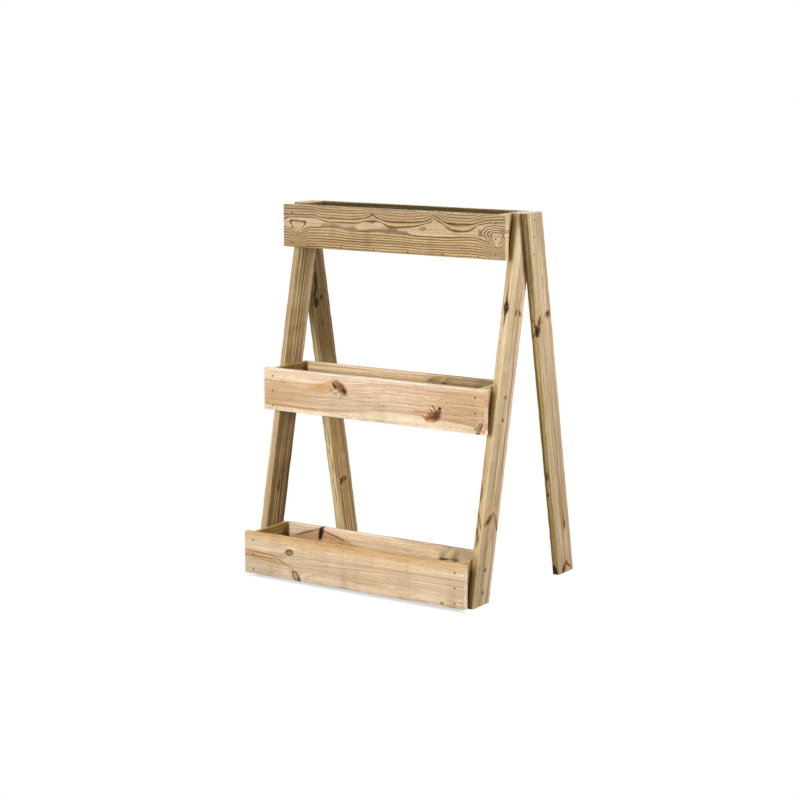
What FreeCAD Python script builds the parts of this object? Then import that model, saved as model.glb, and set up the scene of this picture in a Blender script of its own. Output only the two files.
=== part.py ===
import FreeCAD, Part
import os
from math import tan, cos, sin, pi, radians
from FreeCAD import Vector

os.makedirs("parts", exist_ok=True)

# Planed timber, in mm
board_height = 120.0
board_thick = 18.0
leg_width = 85.0
leg_thick = 20.0
slat_thick = 12.0
board_ease = 2.5
leg_ease = 3.0

# Boxes: the front board reaches over the leg, the back board stops at its inner face
front_length = 724.0
inside_depth = 134.0
box_rise = 454.0
floor_gap = 8.0
board_ahead = 46.5
drain_gap = 8.0

# Legs, leaning in degrees from upright; the rear pair laps the front pair at the top
front_lean = 12.4
rear_lean = 11.3
lap_offset = 4.2

# Nails and screws are small and many, so each has a few flat sides
pin_sides = 6

# Nails, driven flush; the low and high values are distances from a board's lower and upper edges
nail_length = 50.0
nail_radius = 1.4
nail_head_radius = 2.7
nail_head_depth = 1.6
nail_tip = 4.0
end_nails = 3
end_nail_low = 14.0
end_nail_high = 22.0
base_nails = 6
base_nail_inset = 83.0
lap_nails = 3
lap_nail_low = 8.0
lap_nail_high = 20.0

# Screws that hold each front leg to the box ends; the rear legs cover those of the upper box
screw_length = 36.0
screw_radius = 1.9
screw_head_radius = 4.0
screw_head_depth = 2.6
screw_tip = 5.0
leg_screws = 2
screw_low = 26.0
screw_low_covered = 44.0
screw_high = 34.0

# Sizes that follow from the values above
tiers = ["lower", "middle", "upper"]
height = floor_gap + (len(tiers) - 1) * box_rise + board_height
front_rake = tan(radians(front_lean))
rear_rake = tan(radians(rear_lean))
front_run = leg_width / cos(radians(front_lean))
rear_run = leg_width / cos(radians(rear_lean))
stance = lap_offset + (front_rake + rear_rake) * height
half_front = front_length / 2
half_body = half_front - leg_thick
half_inside = half_body - board_thick
slat_width = (inside_depth - drain_gap) / 2
reach_front = front_rake * floor_gap - board_ahead
reach_back = stance + rear_run
toe = -(reach_front + reach_back) / 2


def front_edge(z):
    """Depth of the front legs' leading edge at a height."""
    return toe + front_rake * z


def eased(shape, radius, longer_than):
    """Round the long edges of a sawn length of timber."""
    edges = [e for e in shape.Edges if e.Length > longer_than]
    return shape.makeFillet(radius, edges)


def board(x, y, z, dx, dy, dz):
    """A straight board with its four long edges eased."""
    shape = Part.makeBox(dx, dy, dz, Vector(x, y, z))
    return eased(shape, board_ease, 0.9 * max(dx, dy, dz))


def flat(points):
    """A flat face through its corners."""
    return Part.Face(Part.makePolygon(points + points[:1]))


def leg(x, y_floor, run, lean_shift):
    """A raked leg cut level at the floor and at the top."""
    corners = [
        Vector(x, y_floor, 0),
        Vector(x, y_floor + run, 0),
        Vector(x, y_floor + run + lean_shift, height),
        Vector(x, y_floor + lean_shift, height),
    ]
    return eased(flat(corners).extrude(Vector(leg_thick, 0, 0)), leg_ease, 0.9 * height)


def pin(length, radius, head_radius, head_depth, tip):
    """A nail or screw with its head at the origin, pointing along +Z, drawn with few flat sides."""
    turns = [2 * pi * i / pin_sides for i in range(pin_sides)]
    levels = [(head_radius, 0), (radius, head_depth), (radius, length - tip)]
    rings = [[Vector(r * cos(a), r * sin(a), z) for a in turns] for r, z in levels]
    faces = [flat(rings[0])]
    for i in range(pin_sides):
        j = (i + 1) % pin_sides
        for upper, lower in zip(rings, rings[1:]):
            faces.append(flat([upper[i], upper[j], lower[j], lower[i]]))
        faces.append(flat([rings[-1][i], rings[-1][j], Vector(0, 0, length)]))
    return Part.Solid(Part.Shell(faces))


nail = pin(nail_length, nail_radius, nail_head_radius, nail_head_depth, nail_tip)
screw = pin(screw_length, screw_radius, screw_head_radius, screw_head_depth, screw_tip)


def driven(fastener, x, y, z, way):
    """A copy of a fastener driven from a point along a direction."""
    turn = FreeCAD.Rotation(Vector(0, 0, 1), way)
    placed = fastener.copy()
    placed.Placement = FreeCAD.Placement(Vector(x, y, z), turn)
    return placed


def spread(count, first, last):
    """Evenly spaced places from the first to the last."""
    return [first + (last - first) * i / (count - 1) for i in range(count)]


timber = {}
fasteners = {}
inward = Vector(0, 1, 0)
outward = Vector(0, -1, 0)

# Each box: front board, back board, two ends between them and two base slats
for index, tier in enumerate(tiers):
    z = floor_gap + index * box_rise
    y_face = front_edge(z) - board_ahead
    y_in = y_face + board_thick
    y_back = y_in + inside_depth
    y_rear = y_back + board_thick
    timber[tier + "_front_board"] = board(
        -half_front, y_face, z, front_length, board_thick, board_height)
    timber[tier + "_back_board"] = board(
        -half_body, y_back, z, 2 * half_body, board_thick, board_height)
    timber[tier + "_left_end"] = board(
        -half_body, y_in, z, board_thick, inside_depth, board_height)
    timber[tier + "_right_end"] = board(
        half_inside, y_in, z, board_thick, inside_depth, board_height)
    timber[tier + "_front_slat"] = Part.makeBox(
        2 * half_inside, slat_width, slat_thick, Vector(-half_inside, y_in, z))
    timber[tier + "_back_slat"] = Part.makeBox(
        2 * half_inside, slat_width, slat_thick, Vector(-half_inside, y_back - slat_width, z))

    # Nails through the front and back boards into the ends and the base slats
    nails = []
    for x in (-half_body + board_thick / 2, half_body - board_thick / 2):
        for level in spread(end_nails, z + end_nail_low, z + board_height - end_nail_high):
            nails.append(driven(nail, x, y_face, level, inward))
            nails.append(driven(nail, x, y_rear, level, outward))
    for x in spread(base_nails, base_nail_inset - half_front, half_front - base_nail_inset):
        nails.append(driven(nail, x, y_face, z + slat_thick / 2, inward))
        nails.append(driven(nail, x, y_rear, z + slat_thick / 2, outward))
    fasteners[tier + "_box_nails"] = nails

    # Screws through the front legs into the box ends, on the middle line of the leg
    screws = []
    lowest = screw_low_covered if tier == "upper" else screw_low
    for level in spread(leg_screws, z + lowest, z + board_height - screw_high):
        y_mid = front_edge(level) + front_run / 2
        screws.append(driven(screw, -half_front, y_mid, level, Vector(1, 0, 0)))
        screws.append(driven(screw, half_front, y_mid, level, Vector(-1, 0, 0)))
    fasteners[tier + "_leg_screws"] = screws

# The legs: the front pair stands against the box ends, the rear pair outside the front pair
timber["front_left_leg"] = leg(-half_front, toe, front_run, front_rake * height)
timber["front_right_leg"] = leg(half_body, toe, front_run, front_rake * height)
timber["rear_left_leg"] = leg(-half_front - leg_thick, toe + stance, rear_run, -rear_rake * height)
timber["rear_right_leg"] = leg(half_front, toe + stance, rear_run, -rear_rake * height)

# Nails in an upright row through each rear leg and front leg into the upper box end
y_lap = front_edge(height) + lap_offset + rear_run / 2
lap = []
for level in spread(lap_nails, height - board_height + lap_nail_low, height - lap_nail_high):
    lap.append(driven(nail, -half_front - leg_thick, y_lap, level, Vector(1, 0, 0)))
    lap.append(driven(nail, half_front + leg_thick, y_lap, level, Vector(-1, 0, 0)))
fasteners["rear_leg_nails"] = lap

# Every fastener sits in the hole it makes in the timber it passes through
driven_in = [f for group in fasteners.values() for f in group]
for name, shape in timber.items():
    met = [f for f in driven_in if f.BoundBox.intersect(shape.BoundBox)]
    solid = shape.cut(met).Solids[0]
    solid.exportStep("parts/" + name + ".step")

for name, group in fasteners.items():
    Part.makeCompound(group).exportStep("parts/" + name + ".step")
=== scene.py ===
import math
import bpy
from mathutils import Matrix, Vector


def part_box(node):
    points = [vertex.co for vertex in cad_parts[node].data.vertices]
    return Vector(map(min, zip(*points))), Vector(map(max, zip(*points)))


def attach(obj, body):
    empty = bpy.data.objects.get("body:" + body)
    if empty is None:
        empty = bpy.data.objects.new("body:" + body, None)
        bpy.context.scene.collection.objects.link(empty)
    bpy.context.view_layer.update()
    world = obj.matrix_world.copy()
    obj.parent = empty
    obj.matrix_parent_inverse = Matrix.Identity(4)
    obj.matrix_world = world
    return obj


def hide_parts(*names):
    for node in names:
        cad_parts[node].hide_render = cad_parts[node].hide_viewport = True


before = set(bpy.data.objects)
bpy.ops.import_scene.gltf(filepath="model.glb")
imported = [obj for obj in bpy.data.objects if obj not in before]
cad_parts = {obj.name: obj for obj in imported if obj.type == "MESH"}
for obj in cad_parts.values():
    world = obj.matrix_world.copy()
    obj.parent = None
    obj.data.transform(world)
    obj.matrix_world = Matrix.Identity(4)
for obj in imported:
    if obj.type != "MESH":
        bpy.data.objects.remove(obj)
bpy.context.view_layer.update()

# Lengths of timber
# Every board and leg is planed softwood, sawn square at its ends, with arrises eased by the planer
# and worn a little by handling. One tree makes any length; a leg is sheared by its rake.

mm = 0.001
TIERS = ("lower", "middle", "upper")
RIGHT = Vector((1, 0, 0))
BACK = Vector((0, 1, 0))
UP = Vector((0, 0, 1))


class Value:
    """A value in a node tree; a sum or product with it adds a Math node."""

    def __init__(self, tree, socket):
        self.tree = tree
        self.socket = socket

    def __add__(self, other):
        return calc("ADD", self, other)

    def __sub__(self, other):
        return calc("SUBTRACT", self, other)

    def __rsub__(self, other):
        return calc("SUBTRACT", other, self)

    def __mul__(self, other):
        return calc("MULTIPLY", self, other)

    def __truediv__(self, other):
        return calc("DIVIDE", self, other)

    def __pow__(self, other):
        return calc("POWER", self, other)


def add(tree, kind, values=(), **settings):
    """Add a node, set its properties, and set or link its inputs."""
    node = tree.nodes.new(kind)
    for name, value in settings.items():
        setattr(node, name, value)
    for key, value in dict(values).items():
        if isinstance(value, Value):
            tree.links.new(value.socket, node.inputs[key])
        else:
            node.inputs[key].default_value = value
    return node


def get(tree, kind, values=(), output=0, **settings):
    """Add a node; returns one of its outputs."""
    return Value(tree, add(tree, kind, values, **settings).outputs[output])


def give(made, **results):
    """Link results to the sockets of their names."""
    for name, value in results.items():
        value.tree.links.new(value.socket, made[name])


def tree_of(*terms):
    """The node tree of the values among some terms."""
    return next(term.tree for term in terms if isinstance(term, Value))


def calc(operation, *terms):
    """One Math node; returns its result."""
    return get(tree_of(*terms), "ShaderNodeMath", enumerate(terms), operation=operation)


def ramp(value, low, high, to_low=0.0, to_high=1.0):
    """Ease a value from one span into another; returns its result."""
    spans = {"Value": value, "From Min": low, "From Max": high, "To Min": to_low, "To Max": to_high}
    return get(value.tree, "ShaderNodeMapRange", spans, interpolation_type="SMOOTHSTEP")


def split(place):
    """The three numbers of a place."""
    parts = add(place.tree, "ShaderNodeSeparateXYZ", {0: place}).outputs
    return [Value(place.tree, part) for part in parts]


def group(name, kind, inputs, outputs):
    """A node group with sockets named under their kinds; returns its tree and the sockets at its two ends."""
    tree = bpy.data.node_groups.new(name, kind)
    for way, sockets in (("INPUT", inputs), ("OUTPUT", outputs)):
        for shape, names in sockets.items():
            for socket in names:
                tree.interface.new_socket(socket, in_out=way, socket_type="NodeSocket" + shape)
    given = {socket.name: Value(tree, socket) for socket in tree.nodes.new("NodeGroupInput").outputs}
    return tree, given, tree.nodes.new("NodeGroupOutput").inputs


timber, given, made = group(
    "planed_timber", "GeometryNodeTree",
    {"Float": ["Across X", "Across Y", "Length", "Ease", "Wear", "Rake", "Seed"], "Vector": ["Turn", "Place"],
     "Material": ["Finish"]},
    {"Geometry": ["Timber"]})
outline = get(timber, "GeometryNodeCurvePrimitiveQuadrilateral",
              {"Width": given["Across X"], "Height": given["Across Y"]})
rounded = get(timber, "GeometryNodeFilletCurve",
              {"Curve": outline, "Count": 6, "Radius": given["Ease"]}, mode="POLY")
tall = get(timber, "ShaderNodeCombineXYZ", {"Z": given["Length"]})
run = get(timber, "GeometryNodeCurvePrimitiveLine", {"End": tall})
steps = get(timber, "GeometryNodeResampleCurve", {"Curve": run, "Length": 6 * mm}, mode="LENGTH")
swept = get(timber, "GeometryNodeCurveToMesh", {"Curve": steps, "Profile Curve": rounded, "Fill Caps": True})
x, y, z = split(get(timber, "GeometryNodeInputPosition"))
arris = 1.0
inward = []
for place, across in ((x, "Across X"), (y, "Across Y")):
    past = calc("ABSOLUTE", place) - (given[across] * 0.5 - given["Ease"])
    arris = ramp(past / given["Ease"], -0.2, 0.6) * arris
    inward.append(calc("SIGN", place) * -1.0)
rubbed = get(timber, "ShaderNodeTexNoise",
             {"Scale": 28.0, "Detail": 3.0, "W": given["Seed"]}, noise_dimensions="4D")
lost = ramp(rubbed, 0.42, 0.78) * given["Wear"] * arris
bowed = get(timber, "ShaderNodeTexNoise", {"Scale": 2.2, "W": given["Seed"]}, noise_dimensions="4D")
bow = (bowed - 0.5) * (1.2 * mm)
lean = given["Rake"] * z
shift = get(timber, "ShaderNodeCombineXYZ", {"X": inward[0] * lost, "Y": inward[1] * lost + (lean + bow)})
shaped = get(timber, "GeometryNodeSetPosition", {"Geometry": swept, "Offset": shift})
placed = get(timber, "GeometryNodeTransform",
             {"Geometry": shaped, "Rotation": given["Turn"], "Translation": given["Place"]})
give(made, Timber=get(timber, "GeometryNodeSetMaterial", {"Geometry": placed, "Material": given["Finish"]}))


def grow(name, tree, values, start=None):
    """Run a geometry tree and keep its result as a plain mesh at the origin."""
    piece = bpy.data.objects.new(name, start or bpy.data.meshes.new(name))
    bpy.context.scene.collection.objects.link(piece)
    modifier = piece.modifiers.new(name, "NODES")
    modifier.node_group = tree
    for socket in tree.interface.items_tree:
        if socket.in_out == "INPUT" and socket.name in values:
            modifier[socket.identifier] = values[socket.name]
    ready = piece.evaluated_get(bpy.context.evaluated_depsgraph_get())
    mesh = bpy.data.meshes.new_from_object(ready)
    piece.modifiers.clear()
    piece.data = mesh
    return piece


def fit(piece, node):
    """Let a visual piece stand for its CAD node."""
    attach(piece, "root")
    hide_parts(node)


# Pine
# Each length has one year-ring field through its whole thickness, so that faces, edges and end grain agree:
# rings round a wandering pith, or rings led by lines drawn along the board. Knots, stained patches and
# painted shade lie over it.

# Half a board's thickness and height, and how far below its middle its lowest rings lie, in millimetres
BOARD_FACE = 9
BOARD_MIDDLE = 60
BOARD_DROP = 68

# How far a board's first ring reaches above its upper line, where no crest is drawn, in millimetres
CREST_RISE = 9

rings, given, made = group(
    "pine_rings", "ShaderNodeTree",
    {"Vector": ["Place"], "Float": ["Depth", "Height", "Sway", "Ring", "Seed", "Heart size", "Push"]},
    {"Float": ["Year", "Heart"]})
x, y, z = split(given["Place"])
walk = get(rings, "ShaderNodeCombineXYZ", {"X": x * 3.2, "Y": given["Seed"] * 3.7})
drift = split(get(rings, "ShaderNodeTexNoise", {"Vector": walk, "Scale": 1.0, "Detail": 2.0}, "Color"))
squares = []
for place, middle, stray in ((y, "Depth", drift[0]), (z, "Height", drift[1])):
    offset = place - (given[middle] + (stray - 0.5) * given["Sway"])
    squares.append(offset * offset)
radius = calc("SQRT", squares[0] + squares[1]) + given["Push"]
uneven = get(rings, "ShaderNodeTexNoise",
             {"W": radius * 110.0 + given["Seed"], "Scale": 1.0}, noise_dimensions="1D")
heart = ramp(given["Heart size"] - radius, -1.5 * mm, 1.5 * mm)
give(made, Year=radius / given["Ring"] + uneven * 1.4, Heart=heart)

bend, given, made = group(
    "pine_bend", "ShaderNodeTree",
    {"Vector": ["Place"], "Float": ["Along", "Across", "Reach", "Bend", "Push"]}, {"Float": ["Push"]})
x, y, z = split(given["Place"])
far = (x - given["Along"]) / (given["Reach"] * 2.0)
side = (z - given["Across"]) / given["Reach"]
swell = calc("EXPONENT", (far * far + side * side) * -1.0) * given["Bend"]
give(made, Push=given["Push"] + swell)

lines, given, made = group(
    "pine_lines", "ShaderNodeTree",
    {"Vector": ["Place"],
     "Float": ["Upper", "Crest", "Lower", "Band", "Inside", "Above", "Below", "Faint above", "Faint below"]},
    {"Float": ["Year", "Heart", "Bold"]})
x, y, z = split(given["Place"])
over = z - given["Upper"]
past = z - given["Crest"]
under = given["Lower"] - z
first = over / (given["Crest"] - given["Upper"])
above = calc("MINIMUM", first, 1.0) + calc("MAXIMUM", past, 0.0) * given["Above"]
deep = calc("MAXIMUM", under, 0.0) / (given["Lower"] + BOARD_DROP * mm) * given["Below"]
shallow = calc("MINIMUM", under, 0.0) / (given["Band"] * 2.0)
below = deep + shallow
level = (z - given["Lower"]) / (given["Upper"] - given["Lower"])
year = calc("MAXIMUM", calc("MAXIMUM", above, below), -0.7)
year = year + level * given["Inside"] + (y + BOARD_FACE * mm) * 60.0
heart = ramp(over, 0.8 * mm, -0.8 * mm) * ramp(under, 0.8 * mm, -0.8 * mm)
bold = ramp(past, 0.5 * mm, 3 * mm, 1.0, given["Faint above"])
bold = bold * ramp(under, 1 * mm, 5 * mm, 1.0, given["Faint below"])
nearer = calc("GREATER_THAN", below, above) * calc("LESS_THAN", under, 0.0)
broad = nearer * ramp(given["Band"], 5 * mm, 14 * mm, 0.0, 0.26)
give(made, Year=year, Heart=heart, Bold=bold * (1.0 - broad))

eye, given, made = group(
    "pine_eye", "ShaderNodeTree",
    {"Vector": ["Place"],
     "Float": ["Year", "Along", "Across", "Slope", "Fan", "Rise", "Bulge", "Top", "Gap", "Corner", "Rings"]},
    {"Float": ["Year"]})
x, y, z = split(given["Place"])
aside = calc("ABSOLUTE", x - given["Along"])
up = z - given["Across"]
climb = calc("MINIMUM", calc("MAXIMUM", up, 0.1 * mm), given["Rise"]) / given["Rise"]
wide = climb ** given["Bulge"] * (given["Rise"] * given["Slope"])
spread = given["Slope"] / given["Fan"]
brow = calc("MAXIMUM", (z - given["Top"]) / (given["Gap"] * spread) + 1.0, 0.0)
oval = (aside / wide) ** given["Corner"] + brow ** given["Corner"]
oval = oval ** calc("DIVIDE", 1.0, given["Corner"])
ring = calc("MAXIMUM", (oval - 1.0) * spread, 0.35 - given["Rings"])
out = calc("MAXIMUM", calc("GREATER_THAN", ring, 0.3), calc("LESS_THAN", up, 0.0))
give(made, Year=calc("MINIMUM", given["Year"], ring - 1.0 + out * 100.0))

wood, given, made = group(
    "pine_wood", "ShaderNodeTree",
    {"Vector": ["Place"],
     "Float": ["Endwise", "Year", "Heart", "Bold", "Seed", "Waver", "Contrast", "Streak", "Dirt",
               "Half thick", "Half wide"],
     "Color": ["Sapwood", "Heartwood", "Latewood", "End grain", "Dirty"]},
    {"Color": ["Colour"], "Float": ["Relief"]})


def noise(scale, detail, roughness=0.5):
    """Noise in the timber's own frame, stretched along the grain; returns its value."""
    stretched = get(wood, "ShaderNodeVectorMath", {0: given["Place"], 1: scale}, operation="MULTIPLY")
    values = {"Vector": stretched, "Scale": 1.0, "Detail": detail, "Roughness": roughness, "W": given["Seed"]}
    return get(wood, "ShaderNodeTexNoise", values, noise_dimensions="4D")


def blend(share, below, above, mode="MIX"):
    """Mix two colours; returns the result."""
    colours = {0: share, 6: below, 7: above}
    return get(tree_of(share, below, above), "ShaderNodeMix", colours, 2, data_type="RGBA", blend_type=mode)


wavy = noise((16.0, 70.0, 70.0), 4.0, 0.65) - 0.5
season = calc("FRACT", given["Year"] + wavy * given["Waver"])
late = ramp(season, 0.4, 0.78) * ramp(season, 1.0, 0.94)
fibre = noise((6.0, 360.0, 360.0), 4.0, 0.65)
streaks = noise((1.3, 110.0, 110.0), 3.0, 0.6)
veins = noise((2.5, 210.0, 210.0), 2.0, 0.6)
fleck = noise((90.0, 420.0, 420.0), 2.0)
cloud = noise((4.0, 32.0, 32.0), 4.0, 0.6)
rubbed = noise((14.0, 40.0, 40.0), 3.0)
colour = blend(given["Heart"], given["Sapwood"], given["Heartwood"])
colour = blend(late * given["Bold"] * given["Contrast"], colour, given["Latewood"])
colour = blend(ramp(cloud, 0.42, 0.68) * given["Dirt"], colour, given["Dirty"])
colour = blend(given["Endwise"] * 0.88, colour, given["End grain"])
low = 1.0 - given["Streak"] * 0.22
high = given["Streak"] * 0.14 + 1.0
dark = 1.0 - given["Streak"] * 0.3
shade = ramp(fibre, 0.28, 0.72, 0.82, 1.12) * ramp(streaks, 0.32, 0.68, low, high)
shade = shade * ramp(veins, 0.36, 0.46, dark, 1.0) * ramp(fleck, 0.28, 0.46, 0.7, 1.0)
x, y, z = split(given["Place"])
# The arrises are lightened in patches: wear, and a painted highlight along the edges.
worn = ramp(rubbed, 0.35, 0.6) * 0.3
for place, half in ((y, "Half thick"), (z, "Half wide")):
    worn = worn * ramp(calc("ABSOLUTE", place) - given[half], -4 * mm, -1 * mm)
shade = shade * (worn + 1.0)
sawn = ramp(fibre, 0.28, 0.72, 0.92, 1.04) * ramp(late, 0.0, 1.0, 1.02, 0.78)
shade = ramp(given["Endwise"], 0.0, 1.0, shade, sawn)
warm = get(wood, "ShaderNodeCombineColor", {0: shade, 1: shade ** 1.12, 2: shade ** 1.4})
give(made, Colour=blend(1.0, colour, warm, "MULTIPLY"), Relief=late * 0.4 + fibre)

# One group lays real stained patches, knots and dirt, and also glazes of painted shade and painted light,
# over the wood.
stain_and_painted_shade, given, made = group(
    "pine_stain", "ShaderNodeTree",
    {"Vector": ["Place"], "Color": ["Colour", "Tint"],
     "Float": ["Strength", "Along", "Through", "Across", "Long", "Thick", "Short", "Turn", "Edge", "Rough",
               "Glaze"]},
    {"Color": ["Colour"]})
x, y, z = split(given["Place"])
du = x - given["Along"]
dv = z - given["Across"]
cosine = calc("COSINE", given["Turn"])
sine = calc("SINE", given["Turn"])
u = (du * cosine + dv * sine) / given["Long"]
v = (dv * cosine - du * sine) / given["Short"]
w = (y - given["Through"]) / given["Thick"]
grain = get(stain_and_painted_shade, "ShaderNodeVectorMath", {0: given["Place"], 1: (80.0, 190.0, 190.0)}, operation="MULTIPLY")
ragged = get(stain_and_painted_shade, "ShaderNodeTexNoise", {"Vector": grain, "Scale": 1.0, "Detail": 4.0})
specks = get(stain_and_painted_shade, "ShaderNodeTexNoise", {"Vector": grain, "Scale": 2.3, "Detail": 3.0})
reach = calc("SQRT", u * u + v * v + w * w) + (ragged - 0.5) * given["Rough"]
cover = ramp(reach, given["Edge"] + 1.0, 1.0 - given["Edge"]) * ramp(specks, 0.3, 0.6, 0.78, 1.0)
glazed = blend(1.0, given["Colour"], given["Tint"], "MULTIPLY")
tinted = blend(given["Glaze"], given["Tint"], glazed)
give(made, Colour=blend(cover * given["Strength"], given["Colour"], tinted))


def tone(red, green, blue):
    """A colour as seen on a screen, 0 to 255, in the linear values that a shader reads."""
    shares = [c / 255 for c in (red, green, blue)]
    return tuple(s / 12.92 if s <= 0.04045 else ((s + 0.055) / 1.055) ** 2.4 for s in shares) + (1.0,)


def shades(sapwood, heartwood, latewood, end_grain, dirty):
    """The five colours of a length of pine."""
    return {"Sapwood": tone(*sapwood), "Heartwood": tone(*heartwood), "Latewood": tone(*latewood),
            "End grain": tone(*end_grain), "Dirty": tone(*dirty)}


def drawn(along, length, points):
    """A line drawn along a board through chosen points: from its middle, and above its lower edge, in
    millimetres. A third value makes a sharp corner."""
    values = [point[1] for point in points]
    low, high = min(values) - 1, max(values) + 1
    curve = add(along.tree, "ShaderNodeFloatCurve", {"Value": along / length + 0.5})
    line = curve.mapping.curves[0]
    for index, (x, value, *sharp) in enumerate(points):
        place = (0.5 + x * mm / length, (value - low) / (high - low))
        if index in (0, len(points) - 1):
            corner = line.points[0 if index == 0 else len(line.points) - 1]
            corner.location = place
        else:
            corner = line.points.new(*place)
        corner.handle_type = "VECTOR" if sharp else "AUTO_CLAMPED"
    curve.mapping.update()
    return Value(along.tree, curve.outputs[0]) * ((high - low) * mm) + low * mm


def use(tree, kind, values):
    """Add a node group and set or link the values that it takes; returns its outputs by name."""
    taken = [socket.name for socket in kind.interface.items_tree if socket.in_out == "INPUT"]
    node = add(tree, "ShaderNodeGroup", {key: values[key] for key in taken if key in values}, node_tree=kind)
    return {socket.name: Value(tree, socket) for socket in node.outputs}


def blank(data):
    """Clear the nodes of a new material or world; returns its tree."""
    data.use_nodes = True
    data.node_tree.nodes.clear()
    return data.node_tree


def spot(u, v, long, short, turn, colour, strength=0.9, edge=0.5, rough=0.6, **more):
    """A mark on a face, of stained wood, knots and in places painted shade: its place, half sizes in
    millimetres, turn in degrees, and colour.
    """
    return {"At": (u, v), "Long": long * mm, "Short": short * mm, "Turn": math.radians(turn),
            "Tint": tone(*colour), "Strength": strength, "Edge": edge, "Rough": rough, **more}


def within(through, thick, marks, **more):
    """Marks, of stained wood and in places painted shade, that lie in part of the thickness only: its middle
    and half size, in millimetres.
    """
    return [spot(*mark, Through=through * mm, Thick=thick * mm, **more) for mark in marks]


def painted_light_and_shade(through, colour, glaze=1.0):
    """A glaze of painted light and shade, or a share of one, over a whole face, at a place through the
    thickness in millimetres.
    """
    return {"Along": 0.0, "Across": 0.0, "Through": through * mm, "Long": 9.0, "Thick": 3 * mm, "Short": 9.0,
            "Turn": 0.0, "Tint": tone(*colour), "Strength": 1.0, "Edge": 0.6, "Rough": 0.3, "Glaze": glaze}


def settle(entries, locate):
    """Give marks, bends and eyes their places in a timber's own frame; a plain row of values is a mark."""
    full = [spot(*entry) if isinstance(entry, tuple) else entry for entry in entries]
    return [{**entry, **locate(entry)} if "At" in entry else entry for entry in full]


def pine(name, centre, length, along, across, look, locate, bends=(), eyes=(), stains_and_painted_shade=()):
    """A material for one length of pine, in a frame set along its grain and across its face."""
    finish = bpy.data.materials.new(name)
    tree = blank(finish)
    turn = Matrix((along, across.cross(along), across)).transposed().to_euler()
    position = get(tree, "ShaderNodeTexCoord", output="Object")
    normal = get(tree, "ShaderNodeTexCoord", output="Normal")
    place = get(tree, "ShaderNodeMapping",
                {"Vector": position, "Location": centre, "Rotation": turn}, vector_type="TEXTURE")
    endwise = get(tree, "ShaderNodeVectorMath", {0: normal, 1: along}, "Value", operation="DOT_PRODUCT")
    state = {"Sway": 16 * mm, "Ring": 4.5 * mm, "Heart size": 20 * mm, "Bold": 1.0, "Waver": 0.5,
             "Contrast": 0.4, "Streak": 1.0, "Dirt": 0.25, "Faint above": 1.0, "Faint below": 1.0,
             "Above": 50.0, "Below": 3.0, "Inside": 0.0, "Band": 4 * mm, "Through": 0.0, "Thick": 10.0,
             "Glaze": 0.0, **look, "Place": place, "Endwise": ramp(calc("ABSOLUTE", endwise), 0.8, 0.95)}
    along_board = split(place)[0]
    for key in ("Upper", "Crest", "Lower"):
        if key in state:
            state[key] = drawn(along_board, length, state[key]) - BOARD_MIDDLE * mm
    if isinstance(state["Band"], list):
        state["Band"] = drawn(along_board, length, state["Band"])
    if "Lower" in state:
        state.setdefault("Crest", state["Upper"] + CREST_RISE * mm)
        state.update(use(tree, lines, state))
    else:
        for entry in settle(bends, locate):
            state.update(use(tree, bend, {**state, **entry}))
        state.update(use(tree, rings, state))
    for entry in settle(eyes, locate):
        state.update(use(tree, eye, {**state, **entry}))
    state.update(use(tree, wood, state))
    for entry in settle(stains_and_painted_shade, locate):
        state.update(use(tree, stain_and_painted_shade, {**state, **entry}))
    bump = get(tree, "ShaderNodeBump", {"Height": state["Relief"], "Distance": 0.3 * mm, "Strength": 0.5})
    surface = get(tree, "ShaderNodeBsdfPrincipled",
                  {"Base Color": state["Colour"], "Roughness": 0.75, "Specular IOR Level": 0.12,
                   "Normal": bump})
    add(tree, "ShaderNodeOutputMaterial", {"Surface": surface})
    return finish


def place_board(node, along, look, stains_and_painted_shade=(), bends=(), eyes=(), across=UP, ease=2.5, wear=1.4):
    """Make one straight board of a box where its CAD node is, with its own figure; its edges are eased and
    worn by some millimetres."""
    low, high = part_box(node)
    size, centre = high - low, (low + high) / 2
    if along == RIGHT:
        across_x, across_y, turn, start = size.z, size.y, (0, math.pi / 2, 0), (low.x, centre.y, centre.z)
    else:
        across_x, across_y, turn, start = size.x, size.z, (-math.pi / 2, 0, 0), (centre.x, low.y, centre.z)

    def locate(entry):
        """Turn a place along and up the board, in millimetres, into the board's own frame."""
        u, v = entry["At"]
        return {"Along": u * mm, "Across": v * mm - size.z / 2}

    length = along.dot(size)
    look = {**look, "Half thick": abs(across.cross(along).dot(size)) / 2, "Half wide": across.dot(size) / 2}
    finish = pine(node, centre, length, along, across, look, locate, bends, eyes, stains_and_painted_shade)
    piece = grow(node + "_planed", timber, {
        "Across X": across_x, "Across Y": across_y, "Length": length, "Ease": ease * mm, "Wear": wear * mm,
        "Seed": look["Seed"], "Turn": turn, "Place": Vector(start), "Finish": finish})
    fit(piece, node)


# Front boards
# Planed boards the full width of the stand, nailed to the box ends and to the base behind them.
# The upper one is flat sawn with bold rings, the middle one shows reddish heartwood, the lower one is plain.

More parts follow.
